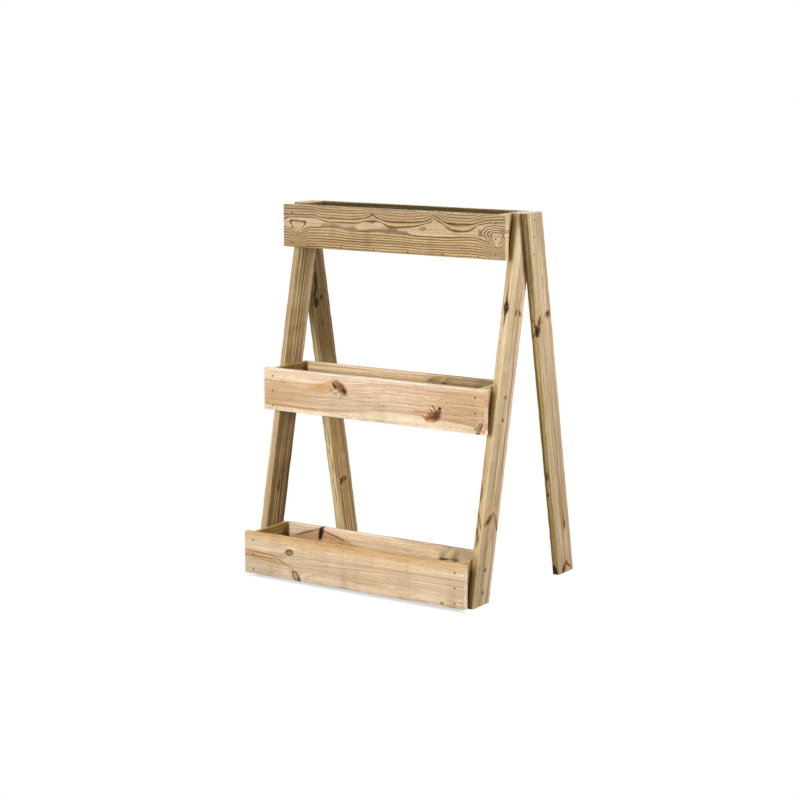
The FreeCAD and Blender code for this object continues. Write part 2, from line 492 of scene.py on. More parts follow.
place_board(
    "upper_front_board", RIGHT,
    {"Upper": [(-362, 81), (-340, 86), (-264, 88), (-236, 84), (-190, 78), (-120, 79), (-80, 86), (-50, 87),
               (-25, 82), (15, 74), (45, 76), (115, 89), (128, 93), (136, 106, "sharp"), (170, 89), (190, 79),
               (215, 75), (235, 76), (262, 83), (285, 94), (320, 100), (362, 103)],
     "Crest": [(-362, 95), (-262, 95), (-230, 90), (-160, 89), (-100, 92), (-78, 97), (-60, 109, "sharp"),
               (-42, 97), (-15, 90), (40, 89), (90, 92), (118, 97), (136, 113, "sharp"), (160, 103),
               (185, 94), (230, 93), (270, 97), (300, 105), (362, 110)],
     "Lower": [(-362, 56), (-345, 52), (-325, 42), (-312, 33, "sharp"), (-303, 39), (-285, 52), (-262, 57),
               (-200, 58), (-150, 54), (-75, 53), (0, 53), (60, 51), (100, 49), (190, 51), (255, 54),
               (285, 51), (310, 43), (328, 33), (337, 31), (346, 33), (362, 42)],
     "Band": [(-362, 3), (-240, 5), (-225, 16), (-180, 17), (-130, 17), (-112, 12), (-85, 8), (-70, 15),
              (-15, 17), (4, 30), (14, 30), (26, 20), (50, 15), (72, 5), (362, 4)],
     "Above": 132.0, "Below": 8.5, "Faint above": 0.68, "Faint below": 0.85, "Waver": 0.8, "Seed": 3.1,
     "Streak": 0.7, "Contrast": 1.0, "Dirt": 0.25,
     **shades((202, 174, 132), (208, 184, 151), (106, 81, 54), (226, 204, 160), (170, 146, 106))},
    stains_and_painted_shade=[
        spot(0, 114, 900, 20, 0, (240, 242, 249), 1.0, 0.4, Glaze=1.0),
        (105, 72, 11, 6, 8, (146, 122, 90), 0.9, 0.25),
        (-313, 40, 3, 9, 0, (128, 102, 72), 0.7, 0.6),
        (354, 77, 11, 6, -8, (146, 118, 84), 0.8),
        (284, 68, 5, 10, 12, (132, 104, 74), 0.85)],
    eyes=[{"At": (-313, 40), "Slope": 1.0, "Fan": 0.45, "Rise": 60 * mm, "Bulge": 0.95, "Top": 17 * mm,
           "Gap": 10 * mm, "Corner": 5.0, "Rings": 1.0},
          {"At": (337, 35), "Slope": 1.6, "Fan": 0.3, "Rise": 33 * mm, "Bulge": 0.78, "Top": 33 * mm,
           "Gap": 6 * mm, "Corner": 2.3, "Rings": 4.0}])

place_board(
    "middle_front_board", RIGHT,
    {"Upper": [(-362, 89), (-280, 85), (-200, 87), (-170, 90), (-145, 99), (-120, 103), (-85, 98), (-60, 99),
               (0, 106), (100, 112), (200, 111), (300, 108), (362, 110)],
     "Lower": [(-362, 18), (-270, 14), (-220, 12), (-140, 16), (-60, 23), (0, 28), (100, 33), (160, 31),
               (180, 22), (195, 18), (225, 25), (250, 27), (310, 22), (335, 17), (346, 4), (362, 2)],
     "Inside": 7.0, "Above": 50.0, "Below": 2.0, "Faint above": 0.5, "Faint below": 0.3, "Waver": 1.4,
     "Band": 3 * mm, "Seed": 5.4, "Contrast": 0.22, "Streak": 0.3, "Dirt": 0.2,
     **shades((246, 230, 203), (222, 196, 168), (170, 124, 86), (255, 236, 216), (206, 168, 124))},
    stains_and_painted_shade=[
        spot(0, 113, 900, 14, 0, (248, 241, 244), 1.0, 0.5, Glaze=1.0),
        (-345, 30, 30, 10, 0, (212, 170, 122), 0.6, 0.7),
        (-298, 84, 10, 5, -20, (196, 156, 106), 0.6, 0.6),
        spot(-300, 52, 100, 34, 0, (246, 236, 219), 1.0, 0.8, Glaze=1.0),
        spot(310, 66, 110, 50, 0, (230, 219, 203), 1.0, 0.8, Glaze=1.0),
        (330, 100, 60, 16, 0, (196, 164, 116), 0.5, 0.8),
        (-280, 85, 90, 2.5, 1, (186, 138, 90), 0.6, 0.7),
        (-270, 15, 110, 2.5, 0, (178, 130, 84), 0.7, 0.7),
        (-80, 20, 90, 2, 4, (196, 148, 104), 0.6, 0.7),
        (285, 25, 55, 2, -4, (176, 132, 86), 0.7, 0.7),
        (100, 108, 220, 2, 1, (204, 168, 124), 0.5, 0.7),
        (-165, 81, 42, 13, 8, (198, 146, 86), 0.75, 0.8),
        (-104, 90, 24, 11, -35, (168, 104, 56), 0.95),
        (-96, 82, 18, 11, -40, (112, 70, 40), 0.9, 0.5, 0.9),
        (-99, 84, 6, 5, 0, (134, 108, 74), 0.7),
        (-88, 76, 10, 6, -40, (62, 34, 16), 0.95, 0.5, 0.9),
        (-121, 89, 10, 5, -60, (58, 34, 16), 1.0, 0.4),
        (-86, 66, 9, 2, -10, (92, 56, 28), 0.8),
        (-99, 60, 8, 1.6, 50, (120, 84, 50), 0.75),
        (-118, 68, 8, 1.6, 30, (134, 96, 58), 0.75),
        (-131, 76, 9, 2, 20, (146, 102, 56), 0.8),
        spot(-166, 120, 62, 3, 0, (60, 46, 28), 1.0, 0.4, 1.0, Through=8 * mm, Thick=4 * mm),
        (60, 71, 42, 7, 2, (240, 210, 182), 0.4),
        (24, 70, 3, 6, 0, (204, 164, 134), 0.6),
        (66, 67, 10, 2, 0, (204, 168, 138), 0.6),
        (165, 43, 28, 4, 0, (186, 136, 94), 0.8),
        (225, 58, 14, 10, 0, (196, 160, 112), 0.5, 0.6),
        (202, 36, 27, 12, 28, (132, 84, 46), 0.95, 0.35, 0.9),
        (213, 36, 16, 9, 40, (84, 52, 26), 0.9, 0.6, 1.0),
        (198, 33, 12, 2.5, 35, (98, 62, 32), 0.8),
        (193, 23, 9, 3.4, 10, (216, 140, 82), 0.85),
        (176, 29, 14, 3, -35, (165, 108, 58), 0.8, 0.4),
        (215, 46, 13, 6, 25, (92, 60, 30), 0.8, 0.4),
        (205, 58, 13, 2, -50, (88, 60, 34), 0.95),
        (195, 50, 9, 2, -48, (104, 74, 44), 0.95),
        (188, 42, 8, 2, -40, (120, 86, 50)),
        (222, 58, 6, 4.5, 10, (54, 34, 14), 1.0, 0.3),
        (346, 18, 17, 7, 62, (142, 114, 74), 0.9, 0.4),
        (352, 20, 14, 3, 70, (96, 74, 44), 0.8, 0.4),
        (341, 2, 7, 3, 0, (30, 24, 14), 1.0, 0.3),
        (364, 85, 3.4, 14, 0, (218, 150, 118), 0.8, 0.4),
        (364, 22, 3.2, 12, 0, (214, 146, 114), 0.8, 0.4)])

place_board(
    "lower_front_board", RIGHT,
    {"Upper": [(-362, 73), (-245, 70), (-225, 76), (-207, 90), (-190, 83), (-150, 79), (0, 80), (362, 81)],
     "Lower": [(-362, 44), (-300, 42), (-230, 45), (-208, 43), (-196, 30), (-186, 8), (-165, 24), (-100, 34),
               (0, 34), (362, 36)],
     "Inside": 6.0, "Above": 70.0, "Below": 4.0, "Waver": 1.4, "Band": 3 * mm, "Seed": 8.7, "Contrast": 0.25,
     "Streak": 0.4, "Dirt": 0.25,
     **shades((233, 211, 182), (224, 201, 174), (172, 134, 96), (255, 236, 208), (216, 184, 142))},
    stains_and_painted_shade=[
        spot(0, 126, 430, 30, 0, (234, 217, 187), 1.0, 0.6, 0.4, Glaze=1.0),
        spot(0, 122, 430, 7, 0, (226, 214, 190), 1.0, 0.6, 0.6, Glaze=1.0),
        (-330, 58, 55, 9, -2, (200, 158, 110), 0.75, 0.7),
        (-345, 57, 22, 7, 0, (200, 148, 94), 0.6, 0.6),
        (-270, 48, 60, 5, -4, (196, 158, 110), 0.75, 0.7),
        (-285, 66, 50, 4, 6, (204, 166, 120), 0.6, 0.6),
        *[spot(*line, 0.6, 0.5) for line in (
            (-296, 64, 70, 2.1, -4, (136, 98, 60), 0.8),
            (-305, 53, 60, 2, 1, (140, 102, 62), 0.8),
            (-226, 46, 26, 2, -22, (142, 102, 64), 0.8),
            (-268, 43, 66, 1.5, -3, (150, 108, 68), 0.7),
            (84, 74, 275, 2, 1, (170, 130, 94), 0.75),
            (-14, 59, 155, 1.8, 3, (176, 138, 102), 0.65),
            (136, 40, 222, 2, 1.8, (182, 146, 112), 0.6))],
        (-226, 68, 16, 8, 30, (180, 150, 104), 0.7, 0.6),
        (-205, 36, 14, 8, -50, (200, 160, 116), 0.6, 0.6),
        (-195, 93, 22, 5, 0, (246, 218, 182), 0.6, 0.6),
        (-207, 78, 14.5, 9.5, 8, (78, 66, 42), 1.0, 0.15, 0.4),
        (-203, 80, 9, 5, 5, (130, 118, 86), 0.8),
        (-184, 12, 20, 11, -52, (64, 46, 28), 0.95, 0.2, 0.5),
        (-185, 13, 14, 7, -52, (182, 162, 130), 0.95, 0.35, 0.5),
        (-174, 3, 10, 3, -52, (34, 26, 16), 0.95, 0.4),
        (100, 73, 320, 7, 0, (204, 176, 144), 0.55, 0.6, 0.9),
        (100, 41, 280, 7, 0, (208, 182, 150), 0.55, 0.6, 0.9),
        (348, 52, 14, 3, 0, (214, 160, 124), 0.7),
        (294, 10, 7, 4.5, 0, (150, 120, 70), 0.9, 0.4)])


# Back boards
# The same board cut shorter, so that it stops between the legs, and nailed to the box ends.

place_board(
    "upper_back_board", RIGHT,
    {"Depth": 58 * mm, "Height": -6 * mm, "Seed": 12.2,
     **shades((186, 162, 118), (170, 146, 102), (124, 102, 64), (190, 168, 124), (130, 110, 72))},
    # Painted shade on the inner face, where the front board shades it, down from just below the top rim.
    stains_and_painted_shade=within(-BOARD_FACE, 6, [(0, 46, 900, 74, 0, (150, 150, 136), 1.0, 0.04, 0.05),
                                   (0, 120, 900, 9, 0, (206, 200, 186), 1.0, 0.5, 0.3)], Glaze=1.0))

place_board(
    "middle_back_board", RIGHT,
    {"Depth": 58 * mm, "Height": -6 * mm, "Seed": 14.9,
     **shades((228, 204, 170), (220, 192, 156), (176, 148, 108), (220, 194, 156), (186, 166, 122))},
    stains_and_painted_shade=[
        spot(250, 106, 130, 26, 0, (206, 200, 186), 0.9, 0.6, 0.6, Glaze=1.0),
        *within(-BOARD_FACE, 6, [(285, 100, 44, 30, 0, (212, 210, 206), 1.0, 0.5, 0.5)], Glaze=1.0),
        (130, 106, 36, 9, 10, (140, 118, 74), 0.75, 0.6, 0.9),
        (100, 106, 12, 5, 20, (104, 84, 46), 0.7, 0.6, 0.9),
        (137, 109, 12, 5, 30, (200, 178, 128), 0.6, 0.7),
        (142, 98, 10, 3, 0, (92, 72, 40), 0.85, 0.5, 1.0),
        *within(5, 10, [(222, 121, 90, 4, 0, (64, 56, 42), 0.9, 0.4, 0.8),
                        (100, 121, 50, 4, 0, (128, 106, 68), 0.9, 0.4, 0.8)]),
        # A dark seam at the left end of the inner face: painted shade in the corner with the box end, and the
        # joint.
        *within(-BOARD_FACE, 8, [(-324, 60, 6, 90, 0, (58, 44, 22), 0.9, 0.4, 0.3)])],
    bends=[{"At": (128, 108), "Reach": 20 * mm, "Bend": 8 * mm}])

place_board(
    "lower_back_board", RIGHT,
    {"Upper": [(-342, 82), (-287, 90), (-226, 104), (-207, 122, "sharp"), (-188, 103), (-150, 97), (-106, 87),
               (-20, 70), (342, 60)],
     "Lower": [(-342, 20), (342, 20)], "Inside": 5.0, "Above": 70.0, "Below": 2.0, "Seed": 17.3,
     "Contrast": 0.14, "Streak": 0.4, "Waver": 1.6, "Dirt": 0.5,
     **shades((228, 206, 178), (212, 180, 142), (150, 108, 70), (226, 196, 160), (190, 156, 114))},
    stains_and_painted_shade=[
        (-255, 88, 70, 14, 10, (150, 100, 62), 0.4, 0.8, 1.2),
        (-150, 88, 60, 12, -12, (160, 110, 70), 0.35, 0.8, 1.2),
        (-252, 101, 42, 3, 18, (100, 64, 36), 0.9, 0.6, 1.0),
        (-160, 101, 44, 3, -14, (106, 68, 38), 0.85, 0.6, 1.0),
        (-206, 104, 21, 8.5, 76, (72, 48, 26), 1.0, 0.35),
        (-207, 101, 19, 4.6, 76, (26, 18, 10), 1.0, 0.4),
        *within(-BOARD_FACE, 6, [(262, 104, 64, 30, 0, (204, 203, 188), 1.0, 0.5, 0.5)], Glaze=1.0),
        (200, 95, 11, 7, 40, (150, 120, 76), 0.75, 0.6),
        (243, 99, 13, 7, 44, (140, 114, 68), 0.6, 0.6),
        (226, 107, 15, 6, 44, (216, 196, 152), 0.6, 0.8),
        (203, 85, 16, 4, 4, (62, 42, 20), 0.95, 0.5, 1.3),
        (240, 87, 13, 4.4, 0, (84, 60, 30), 0.9, 0.5, 1.3),
        *within(5, 10, [(230, 121, 75, 4, 0, (84, 72, 50), 0.85, 0.4, 0.8),
                        (90, 121, 80, 4, 0, (140, 112, 70), 0.85, 0.4, 0.8)]),
        # A dark seam at the left end of the inner face: painted shade in the corner with the box end, and the
        # joint.
        *within(-BOARD_FACE, 8, [(-324, 60, 7, 90, 0, (42, 28, 12), 0.95, 0.4, 0.3)])])


# Box ends
# Short boards between the front and back boards; the front legs are screwed to their outer faces.

# Painted shade on the inner faces of the ends, and painted light and shade on their outer faces beside the
# front legs: lifted on the upper and middle boxes, darker on the lower one.
INNER_PAINTED_SHADE = {"lower": (180, 169, 120), "middle": (160, 140, 102), "upper": (158, 149, 126)}
OUTER_PAINTED_LIGHT_AND_SHADE = {"lower": (206, 180, 132), "middle": (230, 204, 156), "upper": (232, 215, 174)}
for index, tier in enumerate(TIERS):
    for side, seed, inner in (("left", 21.4, -BOARD_FACE), ("right", 24.6, BOARD_FACE)):
        look = {"Depth": 40 * mm, "Height": 10 * mm, "Ring": 5 * mm, "Seed": seed + 1.7 * index,
                "Contrast": 0.45,
                **shades((196, 170, 124), (186, 156, 110), (140, 112, 68), (200, 174, 130), (140, 120, 72))}
        # The dark patch at the rear lower part of each end is painted shade in the corner by the back board.
        place_board(tier + "_" + side + "_end", BACK, look,
                    stains_and_painted_shade=[painted_light_and_shade(inner, INNER_PAINTED_SHADE[tier]), painted_light_and_shade(-inner, OUTER_PAINTED_LIGHT_AND_SHADE[tier], 0.5),
                            spot(62, 62, 22, 44, 0, (60, 48, 18), 0.85, 0.6)])


# Base slats
# Two thin slats lie between the ends in each box, nailed through the front and back boards,
# with a slot between them for water to run out.

for index, tier in enumerate(TIERS):
    for row, seed in (("front", 31.2), ("back", 34.5)):
        look = {"Depth": 30 * mm, "Height": 4 * mm, "Ring": 5 * mm, "Seed": seed + 1.3 * index,
                **shades((206, 180, 138), (200, 170, 126), (150, 120, 80), (206, 180, 136), (170, 148, 104))}
        place_board(tier + "_" + row + "_slat", RIGHT, look, across=BACK, ease=0.8, wear=0.4)


# Box nails
# Bright wire nails with flat round heads, gone dark in the treated timber, driven flush through the front
# and back boards: three into each box end and six into each base slat.

NAIL_TIP = 5 * mm
END_NAIL_RISES = (14, 56, 98)
BASE_NAILS = 6
BASE_NAIL_INSET = 83 * mm
BASE_NAIL_RISE = 6 * mm
BASE_NAIL_SUNK = {"lower": 0.9 * mm, "middle": 0.9 * mm, "upper": 0.0}
FASTENER = {"Geometry": ["Points"], "Float": ["Head", "Shank", "Length"], "Material": ["Finish"]}


def moved(mesh, rise):
    """Move a mesh up or down."""
    place = get(mesh.tree, "ShaderNodeCombineXYZ", {"Z": rise})
    return get(mesh.tree, "GeometryNodeTransform", {"Geometry": mesh, "Translation": place})


def driven(tree, given, pieces):
    """Join the pieces of a fastener and set a finished copy at each point, facing its own way."""
    whole = add(tree, "GeometryNodeJoinGeometry")
    for piece in pieces:
        tree.links.new(piece.socket, whole.inputs[0])
    facing = get(tree, "GeometryNodeInputNamedAttribute", {"Name": "facing"}, data_type="FLOAT_VECTOR")
    turned = get(tree, "FunctionNodeAlignRotationToVector", {"Vector": facing}, axis="Z")
    copies = get(tree, "GeometryNodeInstanceOnPoints",
                 {"Points": given["Points"], "Instance": Value(tree, whole.outputs[0]), "Rotation": turned})
    real = get(tree, "GeometryNodeRealizeInstances", {0: copies})
    return get(tree, "GeometryNodeSetMaterial", {"Geometry": real, "Material": given["Finish"]})


nails, given, made = group("nails", "GeometryNodeTree", FASTENER, {"Geometry": ["Nails"]})
head = get(nails, "GeometryNodeMeshCylinder", {"Vertices": 18, "Radius": given["Head"], "Depth": 1.4 * mm})
shank = get(nails, "GeometryNodeMeshCylinder",
            {"Vertices": 10, "Radius": given["Shank"], "Depth": given["Length"] - NAIL_TIP})
tip = get(nails, "GeometryNodeMeshCone",
          {"Vertices": 10, "Radius Top": given["Shank"], "Radius Bottom": 0.0, "Depth": NAIL_TIP})
pieces = (moved(head, -0.5 * mm), moved(shank, given["Length"] * -0.5 + NAIL_TIP / 2),
          moved(tip, given["Length"] * -1.0))
give(made, Nails=driven(nails, given, pieces))


def metal(name, colour):
    """A dulled steel finish, patchy with rust and dirt."""
    finish = bpy.data.materials.new(name)
    tree = blank(finish)
    position = get(tree, "ShaderNodeTexCoord", output="Object")
    place = get(tree, "ShaderNodeMapping", {"Vector": position, "Scale": (700.0, 700.0, 700.0)})
    patchy = get(tree, "ShaderNodeTexNoise", {"Vector": place, "Scale": 1.0, "Detail": 2.0})
    shade = blend(ramp(patchy, 0.35, 0.65), tone(*colour), tone(74, 54, 36))
    surface = get(tree, "ShaderNodeBsdfPrincipled", {"Base Color": shade, "Metallic": 0.2, "Roughness": 0.6})
    add(tree, "ShaderNodeOutputMaterial", {"Surface": surface})
    return finish


def points(name, places):
    """A mesh of loose points that each know which way their fastener faces."""
    mesh = bpy.data.meshes.new(name)
    mesh.from_pydata([place for place, _ in places], [], [])
    facing = mesh.attributes.new("facing", "FLOAT_VECTOR", "POINT")
    for entry, (_, way) in zip(facing.data, places):
        entry.vector = way
    return mesh


nail_size = {"Shank": 1.4 * mm, "Length": 50 * mm, "Finish": metal("nail_steel", (62, 46, 32))}
for tier in TIERS:
    low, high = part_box(tier + "_front_board")
    back_low, back_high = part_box(tier + "_back_board")
    places = []
    for y, way in ((low.y, -BACK), (back_high.y, BACK)):
        for side in ("left", "right"):
            end_low, end_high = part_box(tier + "_" + side + "_end")
            for rise in END_NAIL_RISES:
                places.append((((end_low.x + end_high.x) / 2, y, low.z + rise * mm), way))
        row = high.x - low.x - 2 * BASE_NAIL_INSET
        for step in range(BASE_NAILS):
            x = low.x + BASE_NAIL_INSET + row * step / (BASE_NAILS - 1)
            places.append((Vector((x, y, low.z + BASE_NAIL_RISE)) - BASE_NAIL_SUNK[tier] * way, way))
    piece = grow(tier + "_nails", nails, {**nail_size, "Head": 2.5 * mm},
                 points(tier + "_nail_points", places))
    fit(piece, tier + "_box_nails")


# Front legs
# Wider planed boards that lean back against the box ends, cut level at the floor and at the upper rim.

# Half a leg's thickness, in millimetres
LEG_FACE = 10


def foot_of(node, floor_level):
    """Where a leg's front and rear edges meet the floor."""
    base = [v.co.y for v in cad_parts[node].data.vertices if v.co.z < floor_level + 1 * mm]
    return min(base), max(base)


def place_leg(node, look, stains_and_painted_shade=(), bends=()):
    """Make one raked leg where its CAD node is, with its own figure."""
    low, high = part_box(node)
    foot_low, foot_high = foot_of(node, low.z)
    run = foot_high - foot_low
    height = high.z - low.z
    shift = (high.y - low.y - run) * (1 if foot_low < (low.y + high.y) / 2 else -1)
    rake = shift / height
    along = Vector((0, rake, 1)).normalized()
    across = along.cross(RIGHT)
    middle = (foot_low + foot_high) / 2
    centre = Vector(((low.x + high.x) / 2, middle + shift / 2, (low.z + high.z) / 2))

    def locate(entry):
        """Turn a place on a side of the leg, its depth and height, or one on its front edge, its place from
        left to right and height, in millimetres, into the leg's own frame."""
        place, z = entry["At"]
        if entry.get("On") == "front":
            reach = Vector((place * mm, foot_low + rake * z * mm, z * mm)) - centre
            return {"Along": reach.dot(along), "Through": reach.x, "Across": reach.dot(across)}
        reach = Vector((centre.x, place * mm, z * mm)) - centre
        return {"Along": reach.dot(along), "Across": reach.dot(across)}

    look = {**look, "Half thick": (high.x - low.x) / 2, "Half wide": run * along.z / 2}
    finish = pine(node, centre, height, along, across, look, locate, bends, (), stains_and_painted_shade)
    piece = grow(node + "_planed", timber, {
        "Across X": high.x - low.x, "Across Y": run, "Length": height, "Ease": 3 * mm, "Wear": 1.6 * mm,
        "Rake": rake, "Seed": look["Seed"], "Place": (centre.x, middle, low.z), "Finish": finish})
    fit(piece, node)


def edge(u, z, long, thick, colour, strength=0.9, blur=0.5, deep=6, glaze=0.0):
    """A mark on a leg's front edge: its place from left to right, height and half sizes in millimetres."""
    return spot(u, z, long, deep, 0, colour, strength, blur, On="front", Thick=thick * mm, Glaze=glaze)


leg_look = {"Depth": 52 * mm, "Height": 12 * mm, "Ring": 5 * mm, "Sway": 20 * mm, "Heart size": 50 * mm,
            "Streak": 1.1, "Contrast": 0.38, "Dirt": 0.5,
            **shades((216, 196, 162), (214, 190, 159), (150, 122, 84), (214, 188, 148), (178, 154, 110))}
place_leg("front_right_leg", {**leg_look, "Seed": 41.3}, stains_and_painted_shade=[
    # Dark rings around the screw heads: painted shade of the countersunk holes, with crushed fibres.
    *[spot(0.22 * z - 197, z, 6, 6, 0, (96, 74, 44), 0.8, 0.5) for z in (34, 94, 488, 548)],
    edge(352, 300, 320, 40, (248, 240, 218), 0.8, 0.6, 4, 1.0),
    # Painted shade on the front edge behind the front boards: glazed darker at each box, most at the top,
    # with a dark line where it meets the box end.
    edge(352, 990, 100, 60, (226, 214, 180), 1.0, 0.4, 4, 1.0),
    edge(352, 62, 74, 40, (196, 186, 156), 1.0, 0.3, 4, 1.0),
    edge(352, 522, 70, 40, (214, 204, 176), 1.0, 0.3, 4, 1.0),
    *[edge(342, z, 72, 3.4, (62, 46, 24), 0.9, 0.4) for z in (62, 522, 976)],
    # A pale line along the outer arris: a painted highlight, with wear.
    edge(361, 520, 530, 2.4, (232, 210, 168), 0.6, 0.6, 4),
    edge(355, 789, 50, 3, (84, 54, 32), 0.95),
    edge(356, 790, 20, 7.5, (74, 44, 26), 0.95, 0.4),
    edge(357, 789, 13, 6, (40, 22, 12), 1.0, 0.4),
    edge(357, 791, 4, 2.6, (124, 84, 58)),
    *[edge(x, z, 12, 1.7, (84, 60, 32), 0.95, 0.5, 6) for x, z in (
        (346, 318), (349, 304), (347, 290), (346, 246), (349, 236), (353, 228), (357, 216), (349, 208),
        (346, 198), (351, 190), (354, 182), (350, 172))],
    (-24, 770, 9, 5, 0, (78, 52, 28), 1.0, 0.45),
    (-22, 774, 5, 3.5, 0, (40, 24, 10), 1.0, 0.4),
    (-5, 767, 10, 5, -40, (88, 60, 32), 1.0, 0.45),
    (-4, 766, 6, 3.5, -40, (54, 34, 16), 1.0, 0.4),
    (-18, 752, 26, 12, 0, (198, 156, 112), 0.4, 0.8),
    (-150, 236, 40, 34, 0, (198, 158, 116), 0.45, 0.8),
    (-161, 226, 21, 8, 52, (104, 80, 42)),
    (-162, 224, 8, 5, 70, (78, 58, 24), 0.9, 0.6),
    (-152, 236, 8, 4, 60, (92, 58, 28)),
    (-136, 241, 5, 4, 0, (90, 58, 32)),
    (-121, 214, 23, 7, -31, (146, 102, 60), 0.9, 0.6),
    (-117, 196, 6, 4, -31, (76, 48, 30), 0.9, 0.6)],
    bends=[{"At": (-67, 791), "Reach": 25 * mm, "Bend": 6 * mm},
           {"At": (-148, 240), "Reach": 30 * mm, "Bend": 8 * mm}])
place_leg("front_left_leg", {**leg_look, "Seed": 44.8, "Streak": 2.0}, stains_and_painted_shade=[
    # Painted shade on the inner face, where the right legs and boxes keep the side light off, darker again
    # low down.
    painted_light_and_shade(LEG_FACE, (218, 213, 197)),
    edge(-352, 300, 300, 60, (224, 200, 162), 0.4, 0.6, 3),
    edge(-352, 720, 260, 60, (230, 222, 209), 1.0, 0.6, 4, 1.0),
    *within(LEG_FACE, 5, [(-140, 190, 260, 90, 0, (198, 186, 164), 0.9, 0.7, 0.6)], Glaze=1.0),
    *within(LEG_FACE, 5, [(-130, 300, 60, 9, 0, (140, 96, 56), 0.6, 0.8)]),
    *within(LEG_FACE, 6, [
        (-150, 234, 20, 4.5, 3, (48, 32, 18), 0.95),
        (-140, 215, 14, 3, 0, (84, 56, 32), 0.8, 0.6),
        (-152, 155, 16, 3.5, 3, (66, 46, 28))])])


# Leg screws
# Zinc-plated countersunk screws with a cross recess, driven through each front leg into the box ends.
# The rear legs cover those of the upper box, whose lower screw sits higher, clear of the rear legs' nails.

SCREW_RISES = {"lower": (26, 86), "middle": (26, 86), "upper": (44, 86)}
RECESS_ARM = 4.4 * mm
RECESS_WIDTH = 0.9 * mm
RECESS_DEPTH = 2.4 * mm

screws, given, made = group("screws", "GeometryNodeTree", FASTENER, {"Geometry": ["Screws"]})
sunk = get(screws, "GeometryNodeMeshCone",
           {"Vertices": 24, "Radius Top": given["Head"], "Radius Bottom": given["Shank"], "Depth": 2.6 * mm})
recess = add(screws, "GeometryNodeMeshBoolean", operation="DIFFERENCE", solver="EXACT")
screws.links.new(moved(sunk, -2.5 * mm).socket, recess.inputs[0])
for wide, deep in ((RECESS_ARM, RECESS_WIDTH), (RECESS_WIDTH, RECESS_ARM)):
    arm = get(screws, "GeometryNodeMeshCube", {"Size": (wide, deep, RECESS_DEPTH)})
    screws.links.new(arm.socket, recess.inputs[1])
shank = get(screws, "GeometryNodeMeshCone",
            {"Vertices": 12, "Radius Top": given["Shank"], "Radius Bottom": 0.3 * mm,
             "Depth": given["Length"]})
pieces = (Value(screws, recess.outputs[0]), moved(shank, given["Length"] * -1.0))
give(made, Screws=driven(screws, given, pieces))

screw_finish = metal("screw_steel", (104, 90, 68))
front_low, front_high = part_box("front_right_leg")
foot_low, foot_high = foot_of("front_right_leg", front_low.z)
rake = (front_high.y - foot_high) / (front_high.z - front_low.z)
for tier in TIERS:
    low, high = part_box(tier + "_left_end")
    places = []
    for rise in SCREW_RISES[tier]:
        z = low.z + rise * mm
        y = (foot_low + foot_high) / 2 + rake * z
        places.append(((front_high.x, y, z), RIGHT))
        places.append(((-front_high.x, y, z), -RIGHT))
    piece = grow(tier + "_screws", screws,
                 {"Head": 4 * mm, "Shank": 1.9 * mm, "Length": 36 * mm, "Finish": screw_finish},
                 points(tier + "_screw_points", places))
    fit(piece, tier + "_leg_screws")


# Rear legs
# The same timber, lapped on the outer faces of the front legs at the top and splayed to the back.

place_leg("rear_right_leg", {**leg_look, "Seed": 47.1}, stains_and_painted_shade=[
    # Painted shade: the outer face a little darker all over, and the front edge glazed darker, most at the
    # top and beside the front leg, with a dark line where the two legs meet.
    painted_light_and_shade(LEG_FACE, (240, 241, 241)),
    edge(372, 500, 900, 60, (207, 197, 157), 1.0, 0.5, 3, 1.0),
    edge(372, 930, 180, 60, (172, 167, 158), 0.9, 0.6, 4, 1.0),
    edge(366, 500, 900, 4, (204, 198, 180), 0.9, 0.6, 4, 1.0),
    edge(363, 950, 130, 2.5, (58, 44, 24)),
    edge(379, 714, 12, 5, (140, 110, 66), 0.7, 0.6, 8),
    *[edge(x, z, long, 2.2, (66, 46, 24), 1.0) for x, z, long in (
        (376, 731, 8), (372, 742, 6), (373, 703, 5), (369, 697, 4), (379, 708, 8))],
    edge(372, 293, 12, 5, (70, 50, 26)),
    edge(370, 239, 7, 4, (82, 60, 32)),
    edge(366, 8, 20, 13, (14, 10, 6), 1.0, 0.3, 12),
    *within(LEG_FACE, 7, [
        (66, 730, 40, 26, 30, (190, 152, 104), 0.5, 0.8),
        (65, 730, 20, 9, 26, (88, 58, 36), 1.0, 0.5, 1.0),
        (60, 713, 16, 12, 16, (34, 18, 12), 1.0, 0.4, 0.8),
        (60, 700, 9, 3, -60, (70, 48, 26)),
        (54, 724, 12, 2.4, -28, (60, 40, 22)),
        (63, 726, 6, 3, 60, (150, 118, 84), 0.8, 0.6),
        (80, 735, 8, 2.5, 75, (110, 84, 46), 0.85),
        (73, 745, 8, 4, 20, (84, 60, 40), 0.85),
        (70, 716, 9, 3, -30, (104, 80, 44), 0.8)]),
    (115, 754, 12, 15, 0, (158, 126, 84), 0.7, 0.6),
    (115, 754, 9, 12, 10, (88, 60, 32), 0.95, 0.45, 0.9),
    (113, 757, 4, 4.5, 0, (52, 32, 12), 0.95),
    (119, 751, 2.5, 4, 0, (128, 100, 70), 0.7),
    (212, 190, 70, 8, 4, (170, 118, 76), 0.75, 0.7),
    (227, 142, 15, 6, 0, (84, 54, 30), 1.0),
    (221, 168, 20, 3, 6, (112, 74, 44), 0.8, 0.6),
    (232, 20, 34, 18, 30, (170, 128, 84), 0.5, 0.8),
    (228, 12, 18, 7, 38, (86, 54, 30), 1.0, 0.4),
    (226, 9, 9, 5, 38, (60, 38, 20), 0.95),
    (243, 28, 8, 5, 60, (92, 60, 34), 1.0, 0.4),
    (255, 18, 15, 3.6, -44, (84, 56, 32), 1.0, 0.4)],
    bends=[{"At": (56, 728), "Reach": 30 * mm, "Bend": 8 * mm}])
